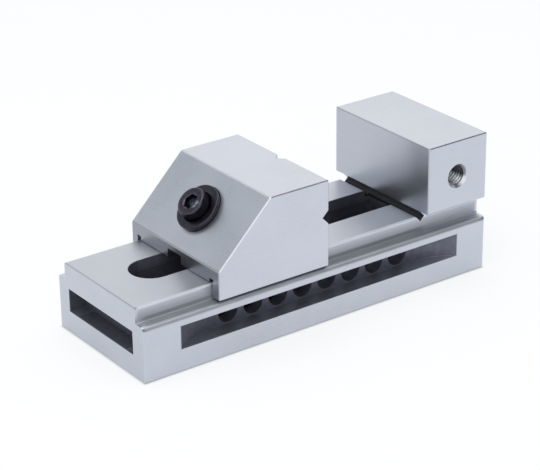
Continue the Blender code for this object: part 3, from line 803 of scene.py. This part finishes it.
@dataclass
class ClampScrew:
    """The socket head cap screw with its knurled head and rolled thread, and the ball-faced washer under it."""

    axis: ScrewAxis
    seat: float = -0.0105
    head_radius: float = 0.0065
    head_height: float = 0.008
    socket_width: float = 0.006
    socket_depth: float = 0.004
    shank_radius: float = 0.004
    length: float = 0.060
    pitch: float = 0.00125
    threaded: float = 0.034
    thread_depth: float = 0.00062
    points: int = 96
    knurl_depth: float = 0.00016
    rows_per_turn: int = 6
    washer_rim: float = 0.0103
    washer_top: float = -0.0073
    washer_bottom: float = -0.0125
    washer_bore: float = 0.0043
    washer_sink: float = 0.0068
    ball_radius: float = 0.0137
    seat_gap: float = 0.0003
    rounding: Section = field(default_factory=lambda: [
        (0.00045, 0.0), (0.00022, 0.00006), (0.00006, 0.00022), (0.0, 0.00045)])
    # Points of painted glints where a key has worn the coat bare.
    key_wear_glint: Point = (-0.04291, -0.00429, 0.05570)
    key_wear_glint_below: Point = (-0.04376, -0.00387, 0.05489)
    # The point of dust with painted light in the socket.
    socket_floor: Point = (-0.03994, 0.00220, 0.05286)

    def hexagon(self, angle: float) -> float:
        """The distance from the socket's axis to its wall at an angle."""
        sixth = math.pi / 3
        return self.socket_width / 2 / math.cos((angle + sixth / 2) % sixth - sixth / 2)

    def knurled(self, depth: float) -> Callable[[float], float]:
        """The head's radius with straight knurling of a given depth."""
        step = 2 * math.pi / self.points
        return lambda angle: self.head_radius - (depth if round(angle / step) % 2 else 0.0)

    def head_rings(self) -> list[Ring]:
        """The rings of the head, from the drilled point of its socket to its underside.

        Returns:
            The rings in order.
        """
        top, floor = self.seat + self.head_height, self.seat + self.head_height - self.socket_depth
        mouth = self.socket_width / 2 * 1.155 + 0.00022
        rings = [[(0.0, 0.0, floor - 0.0013)]]
        rings.append(ring_at(floor, lambda angle: self.socket_width / 2 - 0.00035, self.points))
        rings.append(ring_at(floor, lambda angle: self.hexagon(angle), self.points))
        rings.append(ring_at(top - 0.00045, lambda angle: self.hexagon(angle), self.points))
        rings.append(ring_at(top - 0.00002, lambda angle: max(mouth, self.hexagon(angle)), self.points))
        rings.append(ring_at(top, lambda angle: mouth + 0.00018, self.points))
        edge = self.head_radius
        for reach, drop in ((0.00085, 0.0), (0.00058, 0.00006), (0.00030, 0.00024), (0.00012, 0.00050)):
            rings.append(ring_at(top - drop, lambda angle, inset=reach: edge - inset, self.points))
        rings.append(ring_at(top - 0.00085, self.knurled(0.0), self.points))
        rings.append(ring_at(top - 0.00110, self.knurled(self.knurl_depth), self.points))
        rings.append(ring_at(self.seat + 0.00085, self.knurled(self.knurl_depth), self.points))
        rings.append(ring_at(self.seat + 0.00060, self.knurled(0.0), self.points))
        rings.append(ring_at(self.seat + 0.00015, lambda angle: edge, self.points))
        rings.append(ring_at(self.seat, lambda angle: edge - 0.00018, self.points))
        return rings

    def shank_rings(self) -> list[Ring]:
        """The rings of the plain shank, its thread and its tip.

        Returns:
            The rings in order.
        """
        radius = self.shank_radius
        tip, start = self.seat - self.length, self.seat - self.length + self.threaded
        rings = [ring_at(self.seat, lambda angle: radius + 0.00025, self.points)]
        rings.append(ring_at(self.seat - 0.00025, lambda angle: radius, self.points))
        rings.append(ring_at(start + 0.0001, lambda angle: radius, self.points))
        rows = int(self.threaded / self.pitch * self.rows_per_turn)
        for row in range(rows + 1):
            height = start + (tip - start) * row / rows
            run_in = min(1.0, (start - height) / self.pitch)
            point = max(0.0, 0.0009 - (height - tip))

            def flank(angle: float, at: float = height, share: float = run_in, taper: float = point) -> float:
                """The thread's radius at an angle."""
                cut = self.thread_depth * share * (1.0 - thread_wave(at / self.pitch - angle / (2 * math.pi)))
                return min(radius - cut, radius - taper)

            rings.append(ring_at(height, flank, self.points))
        rings.append([(0.0, 0.0, tip)])
        return rings

    def washer_rings(self) -> list[Ring]:
        """The rings of the washer's section, round from its top to its counterbore.

        Returns:
            The rings in order.
        """
        rim, top, bottom = self.washer_rim, self.washer_top, self.washer_bottom
        bore, sink, floor = self.washer_bore, self.washer_sink, self.seat - self.seat_gap
        section = [(rim - inset, top - drop) for inset, drop in self.rounding]
        low = math.acos(-bottom / self.ball_radius)
        high = math.asin(rim / self.ball_radius)
        for step in range(13):
            angle = high + (low - high) * step / 12
            section.append((self.ball_radius * math.sin(angle), -self.ball_radius * math.cos(angle)))
        section += [(bore, bottom), (bore, floor), (sink, floor)]
        section += [(sink, top - 0.00045), (sink + 0.0002, top - 0.00012), (sink + 0.00045, top)]
        return turned(section, 128)

    def build(self) -> None:
        """Builds the screw and its washer in place of their plain solids."""
        place = self.axis.place()
        # Painted glints where a key has worn the coat bare.
        painted_light_marks = ((self.key_wear_glint, 0.0013), (self.key_wear_glint_below, 0.0012))
        # Dust in the socket, paler to stand in for painted light.
        dust_and_painted_light = ((self.socket_floor, 0.0018),)
        black = BlackOxide("screw_black_oxide", (0.060, 0.057, 0.072), 0.27, painted_light_marks, dust_and_painted_light).material()
        screw = piece("cap_screw", loft(self.head_rings() + self.shank_rings(), place), black, "screw")
        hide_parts("clamp_screw")
        dull = BlackOxide("washer_black_oxide", (0.050, 0.048, 0.060), 0.30).material()
        washer = piece("ball_washer", loft(self.washer_rings(), place, closed=True), dull, "seat")
        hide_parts("seat_washer")


@dataclass
class CrossNut:
    """The cross nut under the rail, and the coil that pushes it down."""

    axis: ScrewAxis
    drop: float = 0.067162
    barrel: float = 0.0065
    trunnion: float = 0.00425
    shoulder: float = 0.009
    end: float = 0.017
    bore: float = 0.0043
    edge: float = 0.0004
    fillet: float = 0.0003
    wire: float = 0.0006
    coil_radius: float = 0.0056
    coil_top: float = -0.0297
    free_turns: int = 7
    coil_steps: int = 28
    wire_points: int = 12
    stroke: float = 0.00375

    def turned_nut(self, place: Matrix) -> bmesh.types.BMesh:
        """The nut's turned outside, before it is bored for the screw.

        Args:
            place: A frame at the nut's centre whose Z axis runs across the vise.

        Returns:
            The turned shape.
        """
        soft, end = self.edge, self.end
        half = [(self.trunnion - soft, end), (self.trunnion - soft * 0.3, end - soft * 0.3)]
        half += [(self.trunnion, end - soft)]
        half += [(self.trunnion, self.shoulder + self.fillet), (self.trunnion + self.fillet, self.shoulder)]
        half += [(self.barrel - soft, self.shoulder), (self.barrel - soft * 0.3, self.shoulder - soft * 0.3)]
        half += [(self.barrel, self.shoulder - soft)]
        section = half + [(radius, -height) for radius, height in reversed(half)]
        rings = [[(0.0, 0.0, self.end)], *turned(section, 96), [(0.0, 0.0, -self.end)]]
        return loft(rings, place)

    def bored_nut(self, finish: bpy.types.Material) -> bpy.types.Object:
        """Builds the nut with its hole for the screw.

        Args:
            finish: The material.

        Returns:
            The nut, which rides on its own body.
        """
        centre = self.axis.ball_centre - self.axis.out * self.drop
        blank = bpy.data.meshes.new("nut_blank")
        blank_shape = self.turned_nut(axis_frame(centre, Vector((0, 1, 0))))
        blank_shape.to_mesh(blank)
        blank_shape.free()
        mouth, reach = self.bore + 0.0006, self.barrel * 1.3
        section = [(mouth + reach * 0.4, reach), (mouth, self.barrel + HAIR), (self.bore, self.barrel - 0.0006)]
        section += [(radius, -height) for radius, height in reversed(section)]
        rings = [[(0.0, 0.0, reach)], *turned(section, 64), [(0.0, 0.0, -reach)]]
        drill_mesh = bpy.data.meshes.new("nut_drill")
        drill_shape = loft(rings, axis_frame(centre, self.axis.out))
        drill_shape.to_mesh(drill_mesh)
        drill_shape.free()
        nut = bpy.data.objects.new("nut_blank", blank)
        drill = bpy.data.objects.new("nut_drill", drill_mesh)
        for item in (nut, drill):
            bpy.context.scene.collection.objects.link(item)
        bored = nut.modifiers.new("bore", "BOOLEAN")
        bored.operation, bored.solver, bored.object = "DIFFERENCE", "EXACT", drill
        bpy.context.view_layer.update()
        result = bpy.data.meshes.new_from_object(nut.evaluated_get(bpy.context.evaluated_depsgraph_get()))
        shape = bmesh.new()
        shape.from_mesh(result)
        for item in (nut, drill):
            bpy.data.objects.remove(item, do_unlink=True)
        return piece("trunnion_nut", shape, finish, "nut")

    def coil(self, finish: bpy.types.Material) -> bpy.types.Object:
        """Builds the spring, with closed ends ground flat.

        Args:
            finish: The material.

        Returns:
            The spring, which rides on the seat.
        """
        low = -self.drop + self.barrel + 0.0003 + self.wire
        closed_rise = 2 * self.wire + 0.00015
        free_rise = (self.coil_top - low - 2 * closed_rise) / self.free_turns
        turns = self.free_turns + 2
        rings: list[Ring] = [[(self.coil_radius, 0.0, low)]]
        for step in range(turns * self.coil_steps + 1):
            turn = step / self.coil_steps
            rise = min(turn, 1) * closed_rise + min(max(turn - 1, 0), self.free_turns) * free_rise
            rise += max(turn - 1 - self.free_turns, 0) * closed_rise
            angle = 2 * math.pi * turn
            ring: Ring = []
            for point in range(self.wire_points):
                around = 2 * math.pi * point / self.wire_points
                radius = self.coil_radius + self.wire * math.cos(around)
                height = low + rise + self.wire * math.sin(around)
                height = min(max(height, low - self.wire * 0.6), self.coil_top + self.wire * 0.6)
                ring.append((radius * math.cos(angle), radius * math.sin(angle), height))
            rings.append(ring)
        rings.append([(self.coil_radius, 0.0, self.coil_top)])
        spring = piece("coil_spring", loft(rings, self.axis.place()), finish, "seat", 45.0)
        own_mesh(spring)
        return spring

    def build(self) -> None:
        """Builds the nut and its spring in place of their plain solids."""
        nut = self.bored_nut(TurnedSteel("turned_nut_steel", (0.30, 0.30, 0.32), 0.36, Lay.AROUND).material())
        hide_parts("cross_nut")
        spring = self.coil(TurnedSteel("drawn_spring_wire", (0.42, 0.42, 0.44), 0.30, Lay.ALONG).material())
        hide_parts("nut_spring")


@dataclass
class Studio:
    """A pale floor and background, soft lamps, and a camera at the photograph's viewing angle."""

    eye: Point = (-0.45877, -0.62785, 0.38334)
    right: Point = (0.806702, -0.590858, -0.010911)
    up: Point = (0.253477, 0.329278, 0.909574)
    lens: float = 136.379
    sensor: float = 36.0
    footprint: tuple[float, float] = (0.0875, 0.0315)

    def see_white(self, tree: Tree, reflected: float = 1.0) -> Socket:
        """Gives the share of plain white that camera, glossy and transmission rays see.

        Args:
            tree: The node tree to add to.
            reflected: The share for glossy rays; the others see all of it.

        Returns:
            The share's socket.
        """
        path = tree.nodes.new("ShaderNodeLightPath")
        total: Socket = path.outputs["Is Camera Ray"]
        for name, part in (("Is Glossy Ray", reflected), ("Is Transmission Ray", 1.0)):
            weight, node = tree.nodes.new("ShaderNodeMath"), tree.nodes.new("ShaderNodeMath")
            weight.operation, node.operation = "MULTIPLY", "MAXIMUM"
            weight.inputs[1].default_value = part
            tree.links.new(path.outputs[name], weight.inputs[0])
            tree.links.new(total, node.inputs[0])
            tree.links.new(weight.outputs[0], node.inputs[1])
            total = node.outputs[0]
        return total

    def world(self) -> None:
        """Sets the white background and the soft light that comes from all sides."""
        world = bpy.data.worlds.new("pale_studio")
        world.use_nodes = True
        tree = world.node_tree
        tree.nodes.clear()
        seen, lit = tree.nodes.new("ShaderNodeBackground"), tree.nodes.new("ShaderNodeBackground")
        seen.inputs["Color"].default_value = (1.0, 1.0, 1.0, 1.0)
        seen.inputs["Strength"].default_value = 1.0
        lit.inputs["Color"].default_value = (0.94, 0.97, 1.0, 1.0)
        lit.inputs["Strength"].default_value = 0.75
        mix, out = tree.nodes.new("ShaderNodeMixShader"), tree.nodes.new("ShaderNodeOutputWorld")
        tree.links.new(self.see_white(tree), mix.inputs[0])
        tree.links.new(lit.outputs[0], mix.inputs[1])
        tree.links.new(seen.outputs[0], mix.inputs[2])
        tree.links.new(mix.outputs[0], out.inputs[0])
        bpy.context.scene.world = world

    def floor(self) -> None:
        """Lays the pale floor, which stays white to the eye and keeps the object's shadow, with a painted shadow
        under the vise.
        """
        shape = bmesh.new()
        bmesh.ops.create_grid(shape, x_segments=1, y_segments=1, size=6.0)
        mesh = bpy.data.meshes.new("pale_floor")
        shape.to_mesh(mesh)
        shape.free()
        floor = bpy.data.objects.new("pale_floor", mesh)
        floor.location = (0.0, 0.0, -0.0001)
        bpy.context.scene.collection.objects.link(floor)
        paint = bpy.data.materials.new("pale_floor_paint")
        paint.use_nodes = True
        tree = paint.node_tree
        tree.nodes.clear()
        matt, white = tree.nodes.new("ShaderNodeBsdfDiffuse"), tree.nodes.new("ShaderNodeEmission")
        white.inputs["Strength"].default_value = 1.06
        share, faded = tree.nodes.new("ShaderNodeMath"), tree.nodes.new("ShaderNodeMath")
        share.operation = faded.operation = "MULTIPLY"
        faded.inputs[1].default_value = 0.66
        # Painted shadow: under the vise the floor is nearly black and shows no white.
        painted_shadow_tone = tree.nodes.new("ShaderNodeMix")
        painted_shadow_tone.data_type = "RGBA"
        painted_shadow_tone.inputs[6].default_value = (0.05, 0.05, 0.055, 1.0)
        painted_shadow_tone.inputs[7].default_value = (0.90, 0.91, 0.93, 1.0)
        mix, out = tree.nodes.new("ShaderNodeMixShader"), tree.nodes.new("ShaderNodeOutputMaterial")
        tree.links.new(self.see_white(tree, 0.45), share.inputs[0])
        clear = self.clear_of_vise(tree)
        tree.links.new(clear, faded.inputs[0])
        tree.links.new(faded.outputs[0], share.inputs[1])
        tree.links.new(clear, painted_shadow_tone.inputs[0])
        tree.links.new(painted_shadow_tone.outputs[2], matt.inputs["Color"])
        tree.links.new(share.outputs[0], mix.inputs[0])
        tree.links.new(matt.outputs[0], mix.inputs[1])
        tree.links.new(white.outputs[0], mix.inputs[2])
        tree.links.new(mix.outputs[0], out.inputs[0])
        mesh.materials.append(paint)

    def clear_of_vise(self, tree: Tree) -> Socket:
        """Tells the floor under the vise from the floor round it.

        Args:
            tree: The floor's node tree.

        Returns:
            A socket that gives 0 under the vise and 1 clear of it.
        """
        place, split = tree.nodes.new("ShaderNodeTexCoord"), tree.nodes.new("ShaderNodeSeparateXYZ")
        tree.links.new(place.outputs["Object"], split.inputs[0])
        outside = []
        for axis, half in enumerate(self.footprint):
            away, ramp = tree.nodes.new("ShaderNodeMath"), tree.nodes.new("ShaderNodeMapRange")
            away.operation = "ABSOLUTE"
            tree.links.new(split.outputs[axis], away.inputs[0])
            tree.links.new(away.outputs[0], ramp.inputs["Value"])
            ramp.inputs["From Min"].default_value = half - 0.002
            ramp.inputs["From Max"].default_value = half + 0.001
            outside.append(ramp.outputs["Result"])
        either = tree.nodes.new("ShaderNodeMath")
        either.operation = "MAXIMUM"
        tree.links.new(outside[0], either.inputs[0])
        tree.links.new(outside[1], either.inputs[1])
        return either.outputs[0]

    def card(self, name: str, toward: Point, distance: float, size: tuple[float, float], shade: Colour) -> None:
        """Stands a card out of view that the polished faces reflect, as a photographer does with metal.

        Args:
            name: The card's name.
            toward: The direction in which it stands, seen from the vise.
            distance: How far away it stands, in metres.
            size: Its width and height in metres.
            shade: Its colour.
        """
        shape = bmesh.new()
        bmesh.ops.create_grid(shape, x_segments=1, y_segments=1, size=0.5)
        bmesh.ops.scale(shape, vec=(size[0], size[1], 1.0), verts=shape.verts)
        mesh = bpy.data.meshes.new(name)
        shape.to_mesh(mesh)
        shape.free()
        card = bpy.data.objects.new(name, mesh)
        away = Vector(toward).normalized()
        card.location = away * distance
        card.rotation_euler = (-away).to_track_quat("Z", "Y").to_euler()
        bpy.context.scene.collection.objects.link(card)
        paint = bpy.data.materials.new(name + "_paint")
        paint.use_nodes = True
        tree = paint.node_tree
        tree.nodes.clear()
        glow, out = tree.nodes.new("ShaderNodeEmission"), tree.nodes.new("ShaderNodeOutputMaterial")
        glow.inputs["Color"].default_value = (*shade, 1.0)
        tree.links.new(glow.outputs[0], out.inputs[0])
        mesh.materials.append(paint)
        card.visible_camera = card.visible_diffuse = card.visible_shadow = False

    def lamp(self, name: str, place: Point, size: float, power: float) -> None:
        """Hangs a soft square lamp that points at the vise.

        Args:
            name: The lamp's name.
            place: Where it hangs, in metres.
            size: Its side in metres.
            power: Its power in watts.
        """
        light = bpy.data.lights.new(name, "AREA")
        light.shape, light.size, light.energy = "SQUARE", size, power
        lamp = bpy.data.objects.new(name, light)
        lamp.location = place
        lamp.rotation_euler = (Vector((0.0, 0.0, 0.03)) - Vector(place)).to_track_quat("-Z", "Y").to_euler()
        bpy.context.scene.collection.objects.link(lamp)

    def camera(self) -> None:
        """Places the camera as it was fitted to the photograph's corners."""
        lens = bpy.data.cameras.new("photo_camera")
        lens.type, lens.sensor_fit = "PERSP", "HORIZONTAL"
        lens.lens, lens.sensor_width = self.lens, self.sensor
        lens.clip_start = 0.01
        camera = bpy.data.objects.new("photo_camera", lens)
        right, up = Vector(self.right).normalized(), Vector(self.up).normalized()
        rotation = Matrix((right, up, right.cross(up))).transposed().to_4x4()
        camera.matrix_world = Matrix.Translation(Vector(self.eye)) @ rotation
        bpy.context.scene.collection.objects.link(camera)
        bpy.context.scene.camera = camera

    def build(self) -> None:
        """Builds the whole studio."""
        self.world()
        self.floor()
        self.lamp("overhead_lamp", (-0.15, -0.05, 0.95), 0.9, 3.0)
        self.lamp("front_lamp", (-0.75, -0.85, 0.75), 1.1, 0.9)
        self.card("grey_card_left", (-0.50, 0.62, 0.76), 1.4, (1.6, 1.0), (0.515, 0.545, 0.57))
        self.card("dark_card_right", (0.58, -0.68, 0.52), 1.4, (1.5, 1.3), (0.03, 0.035, 0.045))
        self.camera()
        bpy.context.scene.view_settings.view_transform = "Standard"


def main() -> None:
    """Clears the scene but for the loaded frame, and builds the vise's looks and the studio round it."""
    logging.basicConfig(level=logging.INFO, format="%(name)s: %(message)s")
    clear_defaults()
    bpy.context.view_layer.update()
    axis = ScrewAxis()
    for assembly in (ViseBody(), MovingJaw(), ClampScrew(axis), CrossNut(axis), Studio()):
        assembly.build()


if __name__ == "__main__":
    main()
